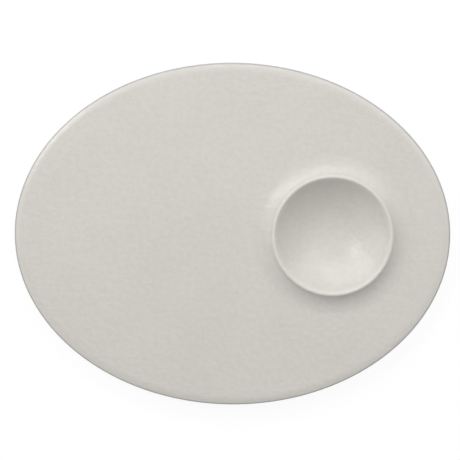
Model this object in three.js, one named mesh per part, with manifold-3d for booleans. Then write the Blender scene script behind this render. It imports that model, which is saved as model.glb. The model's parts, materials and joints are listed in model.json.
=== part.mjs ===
// Oval serving plate with a raised round dip well near one end.
// Millimetres, +Z up, +X along the plate towards the well, origin on the table under the plate's middle.
// The pieces are those that a potter makes and joins with slip before one firing: a flat oval slab,
// a thrown bowl let into a socket in the slab, a collar that sweeps from the slab up to the bowl's lip,
// and a foot ring let into a groove under the slab. A thin slip line lies in each joint.

import * as THREE from "three";
import { mergeVertices } from "three/addons/utils/BufferGeometryUtils.js";
import Module from "manifold-3d";

// Oval slab
const plateLength = 320;
const plateWidth = 252;
const slabThickness = 7;
const edgeCrownWidth = 5.8; // in plan, the soft slope from the flat top out to the nose
const edgeCrownTurn = 18; // degrees that the slope has where it meets the nose
const edgeNoseRadius = 1.2;
const edgeWall = 3; // upright face below the nose
const edgeUnderWidth = 4; // in plan, from the upright face in to the flat underside

// Dip well
const wellFromEnd = 86.5; // from the plate's end to the well's axis
const rimDiameter = 86.8; // across the crest of the lip
const wellRise = 6; // from the plate's top up to the crest
const wellDepth = 18.5; // from the crest down to the bowl's floor
const lipThickness = 3.6;
const bowlFloorThickness = 4;
const collarSweep = 17; // in plan, from the crest out to the flat top
const sweepTurn = 69; // degrees of a quarter ellipse that the sweep uses: more is steeper at the lip
const collarSeatDepth = 1.5; // how deep the collar is let into the slab

// Foot ring
const tableClearance = 1; // from the table up to the bowl's underside
const footInset = 30; // from the plate's edge in to the foot ring
const footWidth = 7; // at the slab
const footTaper = 1; // on each side, from the slab down to the table
const footLandRound = 0.8; // beside the face that it stands on
const footTenon = 1; // depth of the groove that the ring is let into

// Joints
const slipGap = 0.3; // thickness of the slip line between two pieces
const cutterOvershoot = 1; // how far the socket's cutter passes the slab's top

// Fineness of the facets
const ovalSegments = 80;
const roundSegments = 60;
const crownSteps = 4;
const noseSteps = 4;
const underEdgeSteps = 4;
const landSteps = 2;
const sphereSteps = 9;
const lipSteps = 7;
const sweepSteps = 8;
const seatSteps = 4;
const settlingRounds = 12;
const halvingRounds = 40;

// Heights above the table
const rimHeight = tableClearance + bowlFloorThickness + wellDepth;
const plateTop = rimHeight - wellRise;
const slabUnderside = plateTop - slabThickness;
const collarSeat = plateTop - collarSeatDepth;
const grooveTop = slabUnderside + footTenon;

// Plan sizes
const halfLength = plateLength / 2;
const halfWidth = plateWidth / 2;
const wellX = halfLength - wellFromEnd;
const crestRadius = rimDiameter / 2;
const collarRadius = crestRadius + collarSweep;

// The edge's section: a large circle slopes down from the flat top and runs into the small circle of the nose.
const crownAngle = THREE.MathUtils.degToRad(edgeCrownTurn);
const crownRadius = edgeCrownWidth / Math.sin(crownAngle);
const crownInset = edgeCrownWidth + edgeNoseRadius * (1 - Math.sin(crownAngle));
const crownDrop = crownRadius * (1 - Math.cos(crownAngle));
const noseHeight = plateTop - crownDrop - edgeNoseRadius * Math.cos(crownAngle);
const wallFoot = noseHeight - edgeWall;

// The well's section, in (radius, height). The lip is a small circle at the crest, and the bowl's inside is
// a large circle that touches it.
const lipRadius = lipThickness / 2;
const lipCentre = new THREE.Vector2(crestRadius, rimHeight - lipRadius);

const bowlRadius = (crestRadius ** 2 + (wellDepth - lipRadius) ** 2 - lipRadius ** 2) / (2 * wellDepth);
const bowlCentre = new THREE.Vector2(0, rimHeight - wellDepth + bowlRadius);
const lipInside = towards(lipCentre, bowlCentre, lipRadius);

// The collar's sweep is an arc of an ellipse that lies level at the flat top and touches the lip.
const sweepAngle = THREE.MathUtils.degToRad(sweepTurn);
const lipSlope = slopeAtLip();
const lipNormal = new THREE.Vector2(Math.sin(lipSlope), Math.cos(lipSlope));
const lipOutside = lipCentre.clone().addScaledVector(lipNormal, lipRadius);
const sweepHalfWidth = (collarRadius - lipOutside.x) / Math.sin(sweepAngle);
const sweepHalfHeight = (lipOutside.y - plateTop) / (1 - Math.cos(sweepAngle));

// The bowl's outside is a circle from the middle of its underside up to the lip's outside.
const outsideHeight = lipOutside.y - tableClearance;
const outsideRadius = (lipOutside.x ** 2 + outsideHeight ** 2) / (2 * outsideHeight);
const outsideCentre = new THREE.Vector2(0, tableClearance + outsideRadius);
const socketRadius = outsideRadius + slipGap;

const wasm = await Module();
wasm.setup();

// The point that lies a distance from one point in the direction of another.
function towards(from, to, distance) {
  return to.clone().sub(from).setLength(distance).add(from);
}

function angleFrom(centre, point) {
  return point.clone().sub(centre).angle();
}

// Points along an arc of a circle, the short way round between two points on it.
function arcBetween(centre, radius, from, to, steps) {
  const start = angleFrom(centre, from);
  const turn = Math.atan2(Math.sin(angleFrom(centre, to) - start), Math.cos(angleFrom(centre, to) - start));
  return new THREE.EllipseCurve(centre.x, centre.y, radius, radius, start, start + turn, turn < 0).getPoints(steps);
}

// The point of a sphere round the well's axis that lies below its middle, at a given height.
function sphereAt(centre, radius, height) {
  return new THREE.Vector2(Math.sqrt(radius ** 2 - (centre.y - height) ** 2), height);
}

// How steeply the sweep reaches the lip. The slope sets where on the lip they touch, which sets the slope
// in turn, and as the lip is small this settles within a few rounds.
function slopeAtLip() {
  let slope = 0;
  for (let round = 0; round < settlingRounds; round++) {
    const climb = wellRise - lipRadius * (1 - Math.cos(slope));
    const run = collarSweep - lipRadius * Math.sin(slope);
    slope = Math.atan((climb / run) * (1 + 1 / Math.cos(sweepAngle)));
  }
  return slope;
}

// A point of the sweep, at a turn of 0 where it leaves the flat top.
function sweepPoint(turn) {
  return new THREE.Vector2(
    collarRadius - sweepHalfWidth * Math.sin(turn),
    plateTop + sweepHalfHeight * (1 - Math.cos(turn)),
  );
}

// The turn at which the sweep reaches the slip line round the bowl, found by halving.
function turnAtSocket() {
  let clear = 0;
  let inside = sweepAngle;
  for (let round = 0; round < halvingRounds; round++) {
    const middle = (clear + inside) / 2;
    if (sweepPoint(middle).distanceTo(outsideCentre) > socketRadius) clear = middle;
    else inside = middle;
  }
  return clear;
}

// A point of the plate's outline at a given turn, moved in square to the outline.
function ovalPoint(turn, inset) {
  const edge = new THREE.Vector2(halfLength * Math.cos(turn), halfWidth * Math.sin(turn));
  const outward = new THREE.Vector2(Math.cos(turn) / halfLength, Math.sin(turn) / halfWidth).normalize();
  return edge.addScaledVector(outward, -inset);
}

// A solid whose section of (inset, height) points runs round the oval. The section of a ring closes on
// itself, and that of a slab is closed by a flat face above and below.
function ovalSolid(section, isRing) {
  const positions = [];
  const triangles = [];
  for (const { x: inset, y: height } of section) {
    for (let k = 0; k < ovalSegments; k++) {
      const point = ovalPoint((2 * Math.PI * k) / ovalSegments, inset);
      positions.push(point.x, point.y, height);
    }
  }
  const bands = isRing ? section.length : section.length - 1;
  const lastRow = (section.length - 1) * ovalSegments;
  const topMiddle = section.length * ovalSegments;
  for (let k = 0; k < ovalSegments; k++) {
    const beside = (k + 1) % ovalSegments;
    for (let band = 0; band < bands; band++) {
      const row = band * ovalSegments;
      const nextRow = ((band + 1) % section.length) * ovalSegments;
      triangles.push(row + k, nextRow + k, nextRow + beside);
      triangles.push(row + k, nextRow + beside, row + beside);
    }
    if (!isRing) {
      triangles.push(topMiddle, k, beside);
      triangles.push(topMiddle + 1, lastRow + beside, lastRow + k);
    }
  }
  if (!isRing) {
    positions.push(0, 0, section[0].y);
    positions.push(0, 0, section[section.length - 1].y);
  }
  const geometry = new THREE.BufferGeometry();
  geometry.setAttribute("position", new THREE.Float32BufferAttribute(positions, 3));
  return geometry.setIndex(triangles);
}

// A solid turned from a profile of (radius, height) points about the vertical axis.
function turned(profile) {
  return new THREE.LatheGeometry(profile, roundSegments).rotateX(Math.PI / 2);
}

function solidFrom(geometry) {
  const bare = geometry.clone();
  bare.deleteAttribute("normal");
  bare.deleteAttribute("uv");
  const merged = mergeVertices(bare);
  const vertProperties = new Float32Array(merged.attributes.position.array);
  const triVerts = new Uint32Array(merged.index.array);
  return new wasm.Manifold(new wasm.Mesh({ numProp: 3, vertProperties, triVerts }));
}

function geometryFrom(solid) {
  const { vertProperties, triVerts } = solid.getMesh();
  const geometry = new THREE.BufferGeometry();
  geometry.setAttribute("position", new THREE.BufferAttribute(vertProperties, 3));
  geometry.setIndex(new THREE.BufferAttribute(triVerts, 1));
  return geometry;
}

// The slab: a flat top, a soft edge all round, and the foot ring's groove in a flat underside.
function slabGeometry() {
  const crownEnd = Math.PI / 2 + crownAngle;
  const crown = new THREE.EllipseCurve(
    crownInset, plateTop - crownRadius, crownRadius, crownRadius, Math.PI / 2, crownEnd,
  );
  const nose = new THREE.EllipseCurve(
    edgeNoseRadius, noseHeight, edgeNoseRadius, edgeNoseRadius, crownEnd, Math.PI,
  );
  const lowerRound = new THREE.EllipseCurve(
    edgeUnderWidth, wallFoot, edgeUnderWidth, wallFoot - slabUnderside, Math.PI, 1.5 * Math.PI,
  );
  const grooveOutside = footInset - slipGap;
  const grooveInside = footInset + footWidth + slipGap;
  const section = [
    ...crown.getPoints(crownSteps),
    ...nose.getPoints(noseSteps).slice(1),
    ...lowerRound.getPoints(underEdgeSteps),
    new THREE.Vector2(grooveOutside, slabUnderside),
    new THREE.Vector2(grooveOutside, grooveTop),
    new THREE.Vector2(grooveInside, grooveTop),
    new THREE.Vector2(grooveInside, slabUnderside),
  ];
  const whole = solidFrom(ovalSolid(section, false));
  const cutter = solidFrom(turned(socketProfile()).translate(wellX, 0, 0));
  return geometryFrom(whole.subtract(cutter));
}

// What is cut out of the slab for the well: a hollow that the bowl nests in, and a rebate for the collar.
function socketProfile() {
  const bottom = new THREE.Vector2(0, outsideCentre.y - socketRadius);
  const brink = sphereAt(outsideCentre, socketRadius, collarSeat);
  const above = plateTop + cutterOvershoot;
  return [
    ...arcBetween(outsideCentre, socketRadius, bottom, brink, sphereSteps),
    new THREE.Vector2(collarRadius + slipGap, collarSeat),
    new THREE.Vector2(collarRadius + slipGap, above),
    new THREE.Vector2(0, above),
  ];
}

// The bowl: up its outside from the middle, over the lip, and down its inside to the middle.
function bowlProfile() {
  const underside = new THREE.Vector2(0, tableClearance);
  const floor = new THREE.Vector2(0, rimHeight - wellDepth);
  const crest = new THREE.Vector2(crestRadius, rimHeight);
  return [
    ...arcBetween(outsideCentre, outsideRadius, underside, lipOutside, sphereSteps),
    ...arcBetween(lipCentre, lipRadius, lipOutside, crest, lipSteps).slice(1),
    ...arcBetween(lipCentre, lipRadius, crest, lipInside, lipSteps).slice(1),
    ...arcBetween(bowlCentre, bowlRadius, lipInside, floor, sphereSteps).slice(1),
  ];
}

// The collar: along its base in the rebate, up to the flat top, in along the sweep, and down the bowl's side.
function collarProfile() {
  const base = collarSeat + slipGap;
  const heel = sphereAt(outsideCentre, socketRadius, base);
  const lastTurn = turnAtSocket();
  const sweep = Array.from({ length: sweepSteps + 1 }, (_, step) => sweepPoint((lastTurn * step) / sweepSteps));
  return [
    heel,
    new THREE.Vector2(collarRadius, base),
    ...sweep,
    ...arcBetween(outsideCentre, socketRadius, sweep[sweepSteps], heel, seatSteps).slice(1),
  ];
}

// The foot ring: a tenon in the slab's groove, sides that taper, and a flat land with rounded sides.
function footSection() {
  const tenonTop = grooveTop - slipGap;
  const inner = footInset + footWidth;
  const outerRoundX = footInset + footTaper + footLandRound;
  const innerRoundX = inner - footTaper - footLandRound;
  const roundAt = (x, from, to) =>
    new THREE.EllipseCurve(x, footLandRound, footLandRound, footLandRound, from, to).getPoints(landSteps);
  return [
    new THREE.Vector2(footInset, tenonTop),
    new THREE.Vector2(footInset, slabUnderside),
    ...roundAt(outerRoundX, Math.PI, 1.5 * Math.PI),
    ...roundAt(innerRoundX, 1.5 * Math.PI, 2 * Math.PI),
    new THREE.Vector2(inner, slabUnderside),
    new THREE.Vector2(inner, tenonTop),
  ];
}

function satinGlaze() {
  return new THREE.MeshStandardMaterial({ color: 0xcfccc5, roughness: 0.5, metalness: 0 });
}

function bareClay() {
  return new THREE.MeshStandardMaterial({ color: 0xd8d1c3, roughness: 0.9, metalness: 0 });
}

function piece(name, geometry, material) {
  const mesh = new THREE.Mesh(geometry, material);
  mesh.name = name;
  return mesh;
}

const well = new THREE.Group();
well.position.set(wellX, 0, 0);
well.add(piece("dip_bowl", turned(bowlProfile()), satinGlaze()));
well.add(piece("well_collar", turned(collarProfile()), satinGlaze()));

const plate = new THREE.Group();
plate.add(piece("plate_slab", slabGeometry(), satinGlaze()));
plate.add(well);
plate.add(piece("foot_ring", ovalSolid(footSection(), true), bareClay()));

export default plate;
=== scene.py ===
import json
from math import atan, atan2, cos, degrees, pi, radians, sin, sqrt

import bmesh
import bpy
from mathutils import Matrix, Vector


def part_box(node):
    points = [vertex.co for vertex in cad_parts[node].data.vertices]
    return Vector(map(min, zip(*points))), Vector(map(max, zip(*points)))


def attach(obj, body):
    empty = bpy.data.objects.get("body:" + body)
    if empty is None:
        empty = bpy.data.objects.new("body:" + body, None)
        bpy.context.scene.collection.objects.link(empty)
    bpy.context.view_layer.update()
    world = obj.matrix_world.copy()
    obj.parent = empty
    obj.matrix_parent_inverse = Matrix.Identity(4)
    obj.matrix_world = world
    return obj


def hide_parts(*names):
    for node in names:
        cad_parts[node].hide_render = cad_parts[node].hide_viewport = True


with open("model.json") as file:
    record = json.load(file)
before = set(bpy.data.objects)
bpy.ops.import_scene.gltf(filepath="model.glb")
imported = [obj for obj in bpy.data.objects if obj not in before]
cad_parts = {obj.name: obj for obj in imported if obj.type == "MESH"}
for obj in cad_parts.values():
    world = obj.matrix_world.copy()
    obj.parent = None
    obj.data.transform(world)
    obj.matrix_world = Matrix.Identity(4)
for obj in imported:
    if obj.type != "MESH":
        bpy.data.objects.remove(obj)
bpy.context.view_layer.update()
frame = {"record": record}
mm = 0.001
mergeDistance = 0.002 * mm
levelSlack = 0.005 * mm  # how far off a height a point may lie
sharpAngle = 35  # degrees, edges sharper than this stay crisp
scene = bpy.context.scene
slotColour = {m["slot"]: m["base_color"] for m in frame["record"]["materials"]}
slabLow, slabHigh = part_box("plate_slab")
bowlLow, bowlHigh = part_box("dip_bowl")
collarLow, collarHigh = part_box("well_collar")
footLow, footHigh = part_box("foot_ring")
halfLength, halfWidth, plateTop = slabHigh
slabUnderside = slabLow.z
print("frame loaded, plate", round(halfLength * 2, 4), "by", round(halfWidth * 2, 4), "m")


# Small helpers for the meshes

def swing(bm, tip, centre, turn, steps):  # carries a section's end round an arc, plus is clockwise
    made = bmesh.ops.spin(bm, geom=[tip], cent=(wellX + centre[0], 0, centre[1]), axis=(0, 1, 0),
                          angle=turn, steps=steps)
    return next(g for g in made["geom_last"] if isinstance(g, bmesh.types.BMVert))


def drawTo(bm, tip, radius, height):  # carries a section's end point straight on
    end = bmesh.ops.extrude_vert_indiv(bm, verts=[tip])["verts"][0]
    bmesh.ops.translate(bm, verts=[end], vec=Vector((wellX + radius, 0, height)) - end.co)
    return end


def throwRound(bm):  # turns the section once about the well's axis, as on a wheel
    bmesh.ops.spin(bm, geom=bm.verts[:] + bm.edges[:], cent=(wellX, 0, 0), axis=(0, 0, 1),
                   angle=2 * pi, steps=well["turns"], use_merge=True)
    bmesh.ops.remove_doubles(bm, verts=bm.verts, dist=mergeDistance)


def ovalCap(bm, height, faceUp):  # one oval face of the plate's outline
    ring = bmesh.ops.create_circle(bm, cap_ends=True, segments=slab["ovalSteps"], radius=1)["verts"]
    bmesh.ops.scale(bm, vec=(halfLength, halfWidth, 1), verts=ring)
    bmesh.ops.translate(bm, vec=(0, 0, height), verts=ring)
    cap = ring[0].link_faces[0]
    cap.normal_update()
    if (cap.normal.z > 0) != faceUp:
        bmesh.ops.reverse_faces(bm, faces=[cap])
    return cap


def stepIn(bm, cap, path):  # insets the cap along a section given as (inwards, outwards) points
    for (inA, outA), (inB, outB) in zip(path, path[1:]):
        bmesh.ops.inset_region(bm, faces=[cap], thickness=inB - inA, depth=outB - outA,
                               use_even_offset=True, use_boundary=True)


def quarter(wide, tall, steps):  # quarter round from upright to flat
    angles = [pi / 2 * i / steps for i in range(steps + 1)]
    return [(wide * (1 - cos(a)), tall * sin(a)) for a in angles]


def fillFlat(bm, height):  # closes the level face between an outer and an inner open edge
    openEdges = [e for e in bm.edges if e.is_boundary]
    openRims = [e for e in openEdges if all(abs(v.co.z - height) < levelSlack for v in e.verts)]
    bmesh.ops.triangle_fill(bm, use_beauty=True, edges=openRims, normal=(0, 0, 1))


def finishPiece(bm, name, node, finish):
    bmesh.ops.remove_doubles(bm, verts=bm.verts, dist=mergeDistance)
    bmesh.ops.recalc_face_normals(bm, faces=bm.faces)
    openEdges = sum(not e.is_manifold for e in bm.edges)
    for face in bm.faces:
        face.smooth = True
    mesh = bpy.data.meshes.new(name)
    bm.to_mesh(mesh)
    bm.free()
    mesh.set_sharp_from_angle(angle=radians(sharpAngle))
    mesh.materials.append(finish)
    piece = bpy.data.objects.new(name, mesh)
    scene.collection.objects.link(piece)
    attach(piece, "root")
    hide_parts(node)
    print(name, "made,", len(mesh.polygons), "faces,", openEdges, "open edges")


# Small helpers for the materials

def put(tree, kind, feed=None, **settings):
    made = tree.nodes.new("ShaderNode" + kind)
    for label, value in settings.items():
        setattr(made, label, value)
    for label, value in (feed or {}).items():
        if isinstance(value, bpy.types.NodeSocket):
            tree.links.new(value, made.inputs[label])
        else:
            made.inputs[label].default_value = value
    return made


def sums(tree, operation, a, b=0.0, c=0.0):
    return put(tree, "Math", {0: a, 1: b, 2: c}, operation=operation).outputs[0]


def ramp(tree, value, low, high, start=0.0, end=1.0):  # eased step between two values
    limits = {"From Min": low, "From Max": high, "To Min": start, "To Max": end}
    eased = put(tree, "MapRange", {"Value": value, **limits}, interpolation_type="SMOOTHSTEP")
    return eased.outputs["Result"]


def blendColour(tree, mask, a, b):
    made = put(tree, "Mix", {"Factor": mask}, data_type="RGBA")
    for socket, value in ((made.inputs[6], a), (made.inputs[7], b)):
        if isinstance(value, bpy.types.NodeSocket):
            tree.links.new(value, socket)
        else:
            socket.default_value = value
    return made.outputs[2]


def shade(colour, amount):
    return (*[c * amount for c in colour[:3]], 1)


def newGroup(name, inputs, outputs):
    group = bpy.data.node_groups.new(name, "ShaderNodeTree")
    for label, kind, value in inputs:
        socket = group.interface.new_socket(label, in_out="INPUT", socket_type="NodeSocket" + kind)
        if value is not None:
            socket.default_value = value
    for label, kind in outputs:
        group.interface.new_socket(label, in_out="OUTPUT", socket_type="NodeSocket" + kind)
    return group, group.nodes.new("NodeGroupInput").outputs, group.nodes.new("NodeGroupOutput").inputs


def newMaterial(name):
    material = bpy.data.materials.new(name)
    material.use_nodes = True
    tree = material.node_tree
    spot = put(tree, "TexCoord").outputs["Object"]
    place = put(tree, "Mapping", {"Vector": spot, "Scale": (1 / mm,) * 3})  # place in millimetres
    return material, tree, tree.nodes["Principled BSDF"], place.outputs[0]


# The well's section, worked out once for the three pieces that meet there

well = {
    "rimDiameter": 86.8 * mm,  # over the crest of the lip
    "lipThickness": 3.6 * mm,
    "depth": 18.5 * mm,  # from the rim to the bottom inside
    "sweepTurn": 69,  # degrees that the collar's sweep turns through
    "slipFillet": 4 * mm,  # smoothed slip under the plate, round the bowl
    "turns": 160,  # steps round the well
    "settling": 12,  # rounds that find the slope where the sweep runs into the lip
}
wellX = (collarLow.x + collarHigh.x) / 2
collarRadius = (collarHigh.x - collarLow.x) / 2
collarSeat = collarLow.z
rimHeight, bowlUnderside = bowlHigh.z, bowlLow.z
lip = well["lipThickness"] / 2
crest = well["rimDiameter"] / 2
lipCentre = (crest, rimHeight - lip)
insideRadius = (crest ** 2 + (well["depth"] - lip) ** 2 - lip ** 2) / (2 * well["depth"])
insideCentre = (0, rimHeight - well["depth"] + insideRadius)
insideTurn = atan2(crest, insideCentre[1] - lipCentre[1])
sweepAngle = radians(well["sweepTurn"])
lipSlope = 0
for trial in range(well["settling"]):
    climb = rimHeight - plateTop - lip * (1 - cos(lipSlope))
    run = collarRadius - crest - lip * sin(lipSlope)
    lipSlope = atan(climb / run * (1 + 1 / cos(sweepAngle)))
lipOutside = (crest + lip * sin(lipSlope), lipCentre[1] + lip * cos(lipSlope))
sweepWide = (collarRadius - lipOutside[0]) / sin(sweepAngle)
sweepTall = (lipOutside[1] - plateTop) / (1 - cos(sweepAngle))
wallTall = lipOutside[1] - bowlUnderside
outsideRadius = (lipOutside[0] ** 2 + wallTall ** 2) / (2 * wallTall)
outsideCentre = (0, bowlUnderside + outsideRadius)
outsideTurn = atan2(lipOutside[0], outsideCentre[1] - lipOutside[1])
heelRadius = sqrt(outsideRadius ** 2 - (outsideCentre[1] - collarSeat) ** 2)
heelTurn = atan2(heelRadius, outsideCentre[1] - collarSeat)
slipHeight = slabUnderside - well["slipFillet"]
slipRadius = sqrt((outsideRadius + well["slipFillet"]) ** 2 - (outsideCentre[1] - slipHeight) ** 2)
slipTurn = atan2(slipRadius, outsideCentre[1] - slipHeight)
print("well's section worked out, slope at the lip", round(degrees(lipSlope), 1), "degrees")


# The plate's edge in section, shared with the finishes

slab = {
    "ovalSteps": 160,
    "crownWidth": 5.8 * mm,  # soft slope from the flat top out to the nose
    "crownTurn": 18,  # degrees that it slopes at the nose
    "noseRadius": 1.2 * mm,
    "wall": 3 * mm,  # upright face below the nose
    "underRound": 4 * mm,
    "flatLead": 1 * mm,  # narrow flat strip that holds the shading of the rounds
    "roundSteps": 12,
    "socketSteps": 6,
    "slipSteps": 8,
}
crownAngle = radians(slab["crownTurn"])
crownRadius = slab["crownWidth"] / sin(crownAngle)
crownInset = slab["crownWidth"] + slab["noseRadius"] * (1 - sin(crownAngle))
edgeDrop = crownRadius * (1 - cos(crownAngle)) + slab["noseRadius"] * cos(crownAngle)
noseHeight = plateTop - edgeDrop


# Finishes

glaze = {
    "colour": slotColour["glaze"],
    "cloudSize": 45,  # mm, soft clouding of the glaze
    "cloudDepth": 0.012,  # share lighter or darker
    "mottleSize": 3.4,  # mm, fine mottling of the glaze
    "mottleDepth": 0.0145,
    "toneSpread": (0.3, 0.7),
    "glossSpread": (0.25, 0.75),
    "rippleLength": 6.6,  # mm along the plate
    "rippleWidth": 4.2,  # mm across the plate
    "rippleHeight": 0.26 * mm,
    "peelSize": 7,  # mm, long soft waves of the fired glaze
    "peelHeight": 0.03 * mm,
    "roughness": (0.28, 0.34),  # shiniest and dullest
    "speckSpacing": 11,  # mm between pin specks
    "speckShare": (0.55, 0.6),  # about four places in ten get a speck
    "speckSize": (0.055, 0.02),  # from its outside to its middle, in spacings
    "speckDepth": 0.35,
    "speckTone": 0.6,
    "edgeColour": (0.385, 0.392, 0.39, 1),  # grey on the upright edge below the nose
    "edgeLine": (1.32, 1.02),  # mm above the nose's middle where the grey starts and is full
    "edgeBand": (0.97, 0.985),  # share of the way out where it starts and is full
    "lipBand": (4.2, 1.8),  # mm inside and outside the lip's crest
    "lipCore": 0.3,  # mm either side of the crest that is lightest
    "lipRise": 2,  # mm above the flat top where the lighter colour is full
    "lipTone": 1.1,  # lighter colour on the crest
    "crownDrop": (0.02, 0.5),  # mm below the flat top where the painted highlight on the edge's slope starts and is full
    "crownHighlightBand": (0.9, 0.95),  # share of the way out where it starts and is full
    "crownHighlightTone": 1.04,  # painted highlight: lighter colour on the edge's slope
}
clay = {
    "colour": slotColour["bare_clay"],
    "grainSize": 0.6,  # mm
    "grainHeight": 0.03 * mm,
    "grainTone": (0.8, 1.15),  # darkest and lightest grains
    "roughness": 0.85,
    "glazeLine": 1.5,  # mm above the table where the glaze was wiped off
    "lineWander": 0.7,
    "wanderSize": 6.25,  # mm
    "lineBlur": 0.25,
}
skinSizes = {
    "Cloud Size": glaze["cloudSize"],
    "Mottle Size": glaze["mottleSize"],
    "Ripple Length": glaze["rippleLength"],
    "Ripple Width": glaze["rippleWidth"],
    "Peel Size": glaze["peelSize"],
    "Speck Spacing": glaze["speckSpacing"],
}


def makeGlazeSkin():  # clouding, mottling, ripples and specks that every glazed surface shares
    sizes = [(label, "Float", size) for label, size in skinSizes.items()]
    masks = [(label, "Float") for label in ("Cloud", "Mottle", "Ripple", "Peel", "Speck")]
    group, source, result = newGroup("glazeSkin", [("Place", "Vector", None)] + sizes, masks)
    place = source["Place"]

    def cells(size):
        return sums(group, "DIVIDE", 1, source[size])

    cloud = put(group, "TexNoise", {"Vector": place, "Scale": cells("Cloud Size"), "Detail": 3})
    mottle = put(group, "TexNoise", {"Vector": place, "Scale": cells("Mottle Size"), "Detail": 0})
    acrossScale = cells("Ripple Width")
    stretch = put(group, "CombineXYZ", {"X": cells("Ripple Length"), "Y": acrossScale, "Z": acrossScale})
    along = put(group, "VectorMath", {0: place, 1: stretch.outputs[0]}, operation="MULTIPLY").outputs[0]
    ripple = put(group, "TexNoise", {"Vector": along, "Scale": 1, "Detail": 1, "Distortion": 0.5})
    peel = put(group, "TexNoise", {"Vector": place, "Scale": cells("Peel Size"), "Detail": 1})
    speckScale = cells("Speck Spacing")
    spots = put(group, "TexVoronoi", {"Vector": place, "Scale": speckScale, "Randomness": 1}).outputs
    chance = put(group, "SeparateColor", {"Color": spots["Color"]}).outputs[0]
    picked = ramp(group, chance, *glaze["speckShare"])
    dots = ramp(group, spots["Distance"], *glaze["speckSize"])
    speck = sums(group, "MULTIPLY", picked, dots)
    for label, noise in (("Cloud", cloud), ("Mottle", mottle), ("Ripple", ripple), ("Peel", peel)):
        group.links.new(noise.outputs[0], result[label])
    group.links.new(speck, result["Speck"])
    return group


glazeSkin = makeGlazeSkin()


def placeSkin(tree, place):
    skin = put(tree, "Group", node_tree=glazeSkin)
    tree.links.new(place, skin.inputs["Place"])
    for label, size in skinSizes.items():
        skin.inputs[label].default_value = size
    return skin.outputs


def glazeTone(tree, skin):  # colour and gloss of the open glaze
    base, depth = glaze["colour"], glaze["cloudDepth"] + glaze["mottleDepth"]
    clouds = ramp(tree, skin["Cloud"], *glaze["toneSpread"])
    mottles = ramp(tree, skin["Mottle"], *glaze["toneSpread"])
    tone = sums(tree, "MULTIPLY", clouds, glaze["cloudDepth"] / depth)
    tone = sums(tree, "MULTIPLY_ADD", mottles, glaze["mottleDepth"] / depth, tone)
    clouded = blendColour(tree, tone, shade(base, 1 - depth), shade(base, 1 + depth))
    specks = sums(tree, "MULTIPLY", skin["Speck"], glaze["speckDepth"])
    speckled = blendColour(tree, specks, clouded, shade(base, glaze["speckTone"]))
    bright, dull = glaze["roughness"]
    gloss = ramp(tree, skin["Cloud"], *glaze["glossSpread"], dull, bright)
    return speckled, gloss


def glazeRelief(tree, skin):
    waves = sums(tree, "MULTIPLY", skin["Peel"], glaze["peelHeight"] / glaze["rippleHeight"])
    height = sums(tree, "ADD", skin["Ripple"], waves)
    bump = put(tree, "Bump", {"Height": height, "Distance": glaze["rippleHeight"], "Strength": 1})
    return bump.outputs[0]


def makeSatinGlaze():
    material, tree, principled, place = newMaterial("satinGlaze")
    skin = placeSkin(tree, place)
    colour, gloss = glazeTone(tree, skin)
    spot = put(tree, "SeparateXYZ", {"Vector": place}).outputs
    alongX = sums(tree, "SUBTRACT", spot["X"], wellX / mm)
    squares = sums(tree, "MULTIPLY_ADD", alongX, alongX, sums(tree, "MULTIPLY", spot["Y"], spot["Y"]))
    pastCrest = sums(tree, "SUBTRACT", sums(tree, "SQRT", squares), crest / mm)
    inside, outside = glaze["lipBand"]
    inner = ramp(tree, pastCrest, -inside, -glaze["lipCore"])
    onLip = sums(tree, "MULTIPLY", inner, ramp(tree, pastCrest, outside, glaze["lipCore"]))
    top = plateTop / mm
    onLip = sums(tree, "MULTIPLY", onLip, ramp(tree, spot["Z"], top, top + glaze["lipRise"]))
    colour = blendColour(tree, onLip, colour, shade(glaze["colour"], glaze["lipTone"]))
    # painted highlight: lighter colour on the edge's slope, all round the plate
    sloping = ramp(tree, spot["Z"], *[top - drop for drop in glaze["crownDrop"]])
    perOval = (mm / halfLength, mm / halfWidth, 0)
    rimmed = put(tree, "VectorMath", {0: place, 1: perOval}, operation="MULTIPLY").outputs[0]
    # share of the way from the middle out to the oval outline
    outwards = put(tree, "VectorMath", {0: rimmed}, operation="LENGTH").outputs["Value"]
    onCrownHighlight = sums(tree, "MULTIPLY", sloping, ramp(tree, outwards, *glaze["crownHighlightBand"]))
    colour = blendColour(tree, onCrownHighlight, colour, shade(glaze["colour"], glaze["crownHighlightTone"]))
    upright = ramp(tree, spot["Z"], *[noseHeight / mm + above for above in glaze["edgeLine"]])
    onEdge = sums(tree, "MULTIPLY", upright, ramp(tree, outwards, *glaze["edgeBand"]))
    colour = blendColour(tree, onEdge, colour, glaze["edgeColour"])
    tree.links.new(colour, principled.inputs["Base Color"])
    tree.links.new(gloss, principled.inputs["Roughness"])
    tree.links.new(glazeRelief(tree, skin), principled.inputs["Normal"])
    return material


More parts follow.
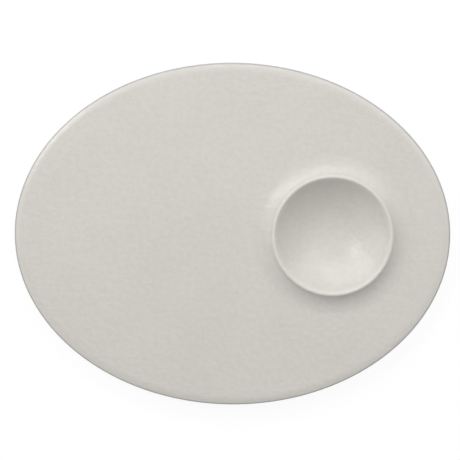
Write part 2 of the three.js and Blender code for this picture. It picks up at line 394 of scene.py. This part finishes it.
def makeFootGlaze():  # glaze on the foot's walls, wiped to bare clay on the land it stands on
    material, tree, principled, place = newMaterial("footGlaze")
    skin = placeSkin(tree, place)
    colour, gloss = glazeTone(tree, skin)
    wander = put(tree, "TexNoise", {"Vector": place, "Scale": 1 / clay["wanderSize"], "Detail": 3})
    high = put(tree, "SeparateXYZ", {"Vector": place}).outputs["Z"]
    line = sums(tree, "ADD", high, sums(tree, "MULTIPLY", wander.outputs[0], 2 * clay["lineWander"]))
    middle = clay["glazeLine"] + clay["lineWander"]
    glazed = ramp(tree, line, middle - clay["lineBlur"], middle + clay["lineBlur"])
    grainScale = 1 / clay["grainSize"]
    grain = put(tree, "TexNoise", {"Vector": place, "Scale": grainScale, "Detail": 4, "Roughness": 0.65})
    dark, light = [shade(clay["colour"], tone) for tone in clay["grainTone"]]
    sand = blendColour(tree, grain.outputs[0], dark, light)
    tree.links.new(blendColour(tree, glazed, sand, colour), principled.inputs["Base Color"])
    rough = put(tree, "MapRange", {"Value": glazed, "To Min": clay["roughness"], "To Max": gloss})
    tree.links.new(rough.outputs["Result"], principled.inputs["Roughness"])
    bare = sums(tree, "MULTIPLY", grain.outputs[0], sums(tree, "SUBTRACT", 1, glazed))
    coarse = put(tree, "Bump", {"Height": bare, "Distance": clay["grainHeight"], "Strength": 1})
    smooth = put(tree, "Bump", {"Height": sums(tree, "MULTIPLY", skin["Ripple"], glazed),
                                "Distance": glaze["rippleHeight"], "Normal": coarse.outputs[0]})
    tree.links.new(smooth.outputs[0], principled.inputs["Normal"])
    return material


satinGlaze = makeSatinGlaze()
footGlaze = makeFootGlaze()
print("finishes made")


# Plate slab: flat top, soft edge, underside and the socket that takes the bowl and its collar

def buildSlab():
    bm = bmesh.new()
    tip = bm.verts.new((wellX + collarRadius, 0, plateTop))
    tip = drawTo(bm, tip, collarRadius, collarSeat)
    tip = drawTo(bm, tip, heelRadius, collarSeat)
    tip = swing(bm, tip, outsideCentre, heelTurn - slipTurn, slab["socketSteps"])
    swing(bm, tip, (slipRadius, slipHeight), slipTurn, slab["slipSteps"])
    throwRound(bm)
    steps, noseRadius = slab["roundSteps"], slab["noseRadius"]
    slopes = [crownAngle + (pi / 2 - crownAngle) * i / steps for i in range(steps, -1, -1)]
    upper = [(noseRadius * (1 - sin(a)), noseRadius * cos(a)) for a in slopes]
    slopes = [crownAngle * i / steps for i in range(steps - 1, -1, -1)]
    upper += [(crownInset - crownRadius * sin(a), edgeDrop - crownRadius * (1 - cos(a))) for a in slopes]
    under = noseHeight - slab["wall"] - slabUnderside
    lower = [(0, 0)] + [(i, slab["wall"] + d) for i, d in quarter(slab["underRound"], under, steps)]
    for path, height in ((upper, plateTop), (lower, slabUnderside)):
        cap = ovalCap(bm, noseHeight, height == plateTop)
        stepIn(bm, cap, path + [(path[-1][0] + slab["flatLead"], path[-1][1])])
        bmesh.ops.delete(bm, geom=[cap], context="FACES_ONLY")
        fillFlat(bm, height)
    finishPiece(bm, "plateSlab", "plate_slab", satinGlaze)


# Dip bowl: outside, lip and inside in one section

bowl = {"outsideSteps": 28, "lipSteps": 24, "insideSteps": 36}


def buildBowl():
    bm = bmesh.new()
    tip = bm.verts.new((wellX, 0, bowlUnderside))
    tip = swing(bm, tip, outsideCentre, -outsideTurn, bowl["outsideSteps"])
    tip = swing(bm, tip, lipCentre, -lipSlope - insideTurn, bowl["lipSteps"])
    swing(bm, tip, insideCentre, insideTurn, bowl["insideSteps"])
    throwRound(bm)
    finishPiece(bm, "dipBowl", "dip_bowl", satinGlaze)


# Well collar: the sweep from the flat top up to the lip

collar = {"sweepSteps": 36, "heelSteps": 6}


def buildCollar():
    bm = bmesh.new()
    toe = bm.verts.new((wellX + collarRadius, 0, plateTop))
    tip = swing(bm, toe, (collarRadius, plateTop + sweepWide), sweepAngle, collar["sweepSteps"])
    atTop = Matrix.Translation((0, 0, -plateTop))
    flatter = (1, 1, sweepTall / sweepWide)  # makes the round sweep an oval one
    bmesh.ops.scale(bm, vec=flatter, verts=bm.verts, space=atTop)
    tip = swing(bm, tip, outsideCentre, outsideTurn - heelTurn, collar["heelSteps"])
    tip = drawTo(bm, tip, collarRadius, collarSeat)
    bm.edges.new((tip, toe))
    throwRound(bm)
    finishPiece(bm, "wellCollar", "well_collar", satinGlaze)


# Foot ring: an oval ring with a wiped land

foot = {
    "width": 7 * mm,
    "taper": 1 * mm,  # each wall leans in by this much
    "landRound": 0.8 * mm,
    "glazeFillet": 1.6 * mm,  # glaze gathered where the foot meets the plate
    "roundSteps": 8,
}


def buildFoot():
    bm = bmesh.new()
    inset = halfLength - footHigh.x
    fillet, roundOff = foot["glazeFillet"], foot["landRound"]
    cap = ovalCap(bm, slabUnderside, False)
    stepIn(bm, cap, [(0, 0), (inset - fillet, 0)])
    bmesh.ops.delete(bm, geom=[f for f in bm.faces if f != cap], context="FACES")
    tall = slabUnderside - footLow.z
    steps = foot["roundSteps"]
    wall = [(d, i) for i, d in quarter(fillet, fillet, steps)]  # hollow round, flat to upright
    base = fillet + foot["taper"]
    wall += [(base + i, tall - roundOff + d) for i, d in quarter(roundOff, roundOff, steps)]
    span = 2 * fillet + foot["width"]
    section = wall + [(span - i, d) for i, d in reversed(wall)]
    stepIn(bm, cap, section)
    bmesh.ops.delete(bm, geom=[cap], context="FACES_ONLY")
    fillFlat(bm, slabUnderside)
    finishPiece(bm, "footRing", "foot_ring", footGlaze)


buildSlab()
buildBowl()
buildCollar()
buildFoot()


# Studio: white floor and world, soft lamps round the plate, camera almost straight above

studio = {
    "ambient": 0.242,
    "lampDistance": 1.5,
    "tableTone": 0.8,  # the floor's colour as light bounces off it
    "tableLight": 0.3,  # the floor's own light on the underside
    "floorGlow": 0.90,  # how white the floor shows without the lamps
    "floorShade": 0.13,  # how much of the lamps' light and shadow it shows
    "floorRadius": 4,
    "floorSteps": 96,
    "floorDrop": 0.05 * mm,  # below the foot's land
    "floorFade": (0.35, 0.9),  # metres out where the shadow's floor turns plain white
}
view = {
    "lean": 5.2,  # degrees off straight above, towards the picture's top
    "roll": 0.43,  # degrees about the view
    "lens": 400,
    "sensor": 36,
    "picture": 460,  # picture points across
    "plateLength": 435.6,  # picture points that the plate's length takes
    "aim": (-2.5, 4.13),  # picture points from the plate's middle
}
lamps = [  # name, bearing in the picture (0 right, 90 down), degrees from overhead, metres across, watts
    ("keyLamp", 212, 34, 0.35, 3.1),
    ("fillLamp", 225, 60, 1.0, 6.2),
    ("topLamp", 270, 51, 1.0, 5.4),
    ("topRightLamp", 315, 45, 0.9, 3.3),
    ("lowRightLamp", 315, 76, 0.9, 2.6),
    ("leftLamp", 180, 70, 0.9, 2.2),
    ("lowLeftLamp", 135, 65, 0.9, 0.65),
    ("overheadLamp", 10, 18, 1.6, 4.4),
]


def seenDirectly(tree):  # 1 for rays that show the backdrop itself: camera, mirror and see-through rays
    path = put(tree, "LightPath").outputs
    plain = sums(tree, "MAXIMUM", path["Is Camera Ray"], path["Is Glossy Ray"])
    return sums(tree, "MAXIMUM", plain, path["Is Transmission Ray"])


def buildFloor():
    bm = bmesh.new()
    under = Matrix.Translation((0, 0, -studio["floorDrop"]))
    bmesh.ops.create_circle(bm, cap_ends=True, segments=studio["floorSteps"],
                            radius=studio["floorRadius"], matrix=under)
    mesh = bpy.data.meshes.new("floor")
    bm.to_mesh(mesh)
    bm.free()
    material = bpy.data.materials.new("whiteFloor")
    material.use_nodes = True
    tree = material.node_tree
    tree.nodes.remove(tree.nodes["Principled BSDF"])
    matt = put(tree, "BsdfDiffuse", {"Color": (*[studio["tableTone"]] * 3, 1)}).outputs[0]
    upLight = put(tree, "Emission", {"Strength": studio["tableLight"]}).outputs[0]
    table = put(tree, "AddShader", {0: matt, 1: upLight}).outputs[0]
    shadowed = put(tree, "BsdfDiffuse", {"Color": (*[studio["floorShade"]] * 3, 1)}).outputs[0]
    glow = put(tree, "Emission", {"Strength": studio["floorGlow"]}).outputs[0]
    near = put(tree, "AddShader", {0: shadowed, 1: glow}).outputs[0]
    spot = put(tree, "TexCoord").outputs["Object"]
    outwards = put(tree, "VectorMath", {0: spot}, operation="LENGTH").outputs["Value"]
    far = put(tree, "Emission", {"Strength": 1}).outputs[0]
    fade = ramp(tree, outwards, *studio["floorFade"])
    shown = put(tree, "MixShader", {0: fade, 1: near, 2: far}).outputs[0]
    whole = put(tree, "MixShader", {0: seenDirectly(tree), 1: table, 2: shown}).outputs[0]
    clear = put(tree, "BsdfTransparent").outputs[0]
    below = put(tree, "NewGeometry").outputs["Backfacing"]
    oneSided = put(tree, "MixShader", {0: below, 1: whole, 2: clear}).outputs[0]  # clear from below
    tree.links.new(oneSided, tree.nodes["Material Output"].inputs["Surface"])
    mesh.materials.append(material)
    floor = bpy.data.objects.new("floor", mesh)
    scene.collection.objects.link(floor)


def buildLight():
    world = bpy.data.worlds.new("whiteStudio")
    world.use_nodes = True
    scene.world = world
    tree = world.node_tree
    direct = seenDirectly(tree)
    strength = put(tree, "MapRange", {"Value": direct, "To Min": studio["ambient"], "To Max": 1})
    backdrop = tree.nodes["Background"].inputs
    backdrop["Color"].default_value = (1, 1, 1, 1)
    tree.links.new(strength.outputs["Result"], backdrop["Strength"])
    aim = Vector((0, 0, plateTop))
    for name, bearing, tilt, size, watts in lamps:
        lamp = bpy.data.lights.new(name, "AREA")
        lamp.shape = "DISK"
        lamp.size = size
        lamp.energy = watts
        stand = bpy.data.objects.new(name, lamp)
        a, t = radians(bearing), radians(tilt)
        away = Vector((sin(t) * cos(a), -sin(t) * sin(a), cos(t)))
        stand.location = aim + away * studio["lampDistance"]
        stand.rotation_euler = away.to_track_quat("Z", "Y").to_euler()
        stand.visible_camera = False
        scene.collection.objects.link(stand)


def buildCamera():
    pixel = 2 * halfLength / view["plateLength"]
    aim = Vector((view["aim"][0] * pixel, view["aim"][1] * pixel, noseHeight))
    data = bpy.data.cameras.new("overheadCamera")
    data.lens, data.sensor_width = view["lens"], view["sensor"]
    reach = view["picture"] * pixel * data.lens / data.sensor_width
    camera = bpy.data.objects.new("overheadCamera", data)
    lean = Matrix.Rotation(-radians(view["lean"]), 4, "X")
    roll = Matrix.Rotation(radians(view["roll"]), 4, "Z")
    camera.matrix_world = Matrix.Translation(aim) @ lean @ roll @ Matrix.Translation((0, 0, reach))
    scene.collection.objects.link(camera)
    scene.camera = camera


buildFloor()
buildLight()
buildCamera()
scene.view_settings.view_transform = "Standard"
print("studio made,", len(lamps), "lamps")
